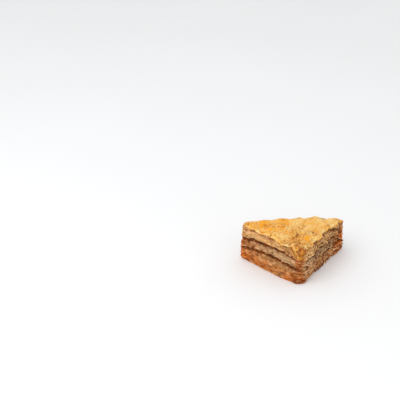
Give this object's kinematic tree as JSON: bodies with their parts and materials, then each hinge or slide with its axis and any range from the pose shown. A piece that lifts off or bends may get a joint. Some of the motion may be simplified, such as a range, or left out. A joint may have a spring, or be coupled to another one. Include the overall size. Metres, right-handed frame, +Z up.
{
  "type": "baklava piece",
  "caption": "Right-angled slice of baklava: stacked phyllo leaves with two thin layers of ground nuts and a domed, wrinkled crust.",
  "frame": {"origin": "under the middle of the slice, on the surface that it rests on", "axes": "+X along the long side, to the right when the right-angled corner faces the viewer; +Y from that corner towards the long side; +Z up"},
  "size_m": [0.098, 0.0558, 0.0405],
  "materials": {
    "glazed_crust": "baked golden phyllo, wrinkled, with a thin gloss of syrup",
    "pale_phyllo": "cut edges of thin pastry leaves, slightly moist",
    "soaked_phyllo": "amber pastry leaves soaked with syrup",
    "ground_nuts": "rough chopped and ground nuts"
  },
  "bodies": {
    "root": {"phyllo_bottom": "soaked_phyllo", "nut_lower": "ground_nuts", "phyllo_middle": "pale_phyllo", "nut_upper": "ground_nuts", "phyllo_top": "glazed_crust"}
  },
  "joints": []
}
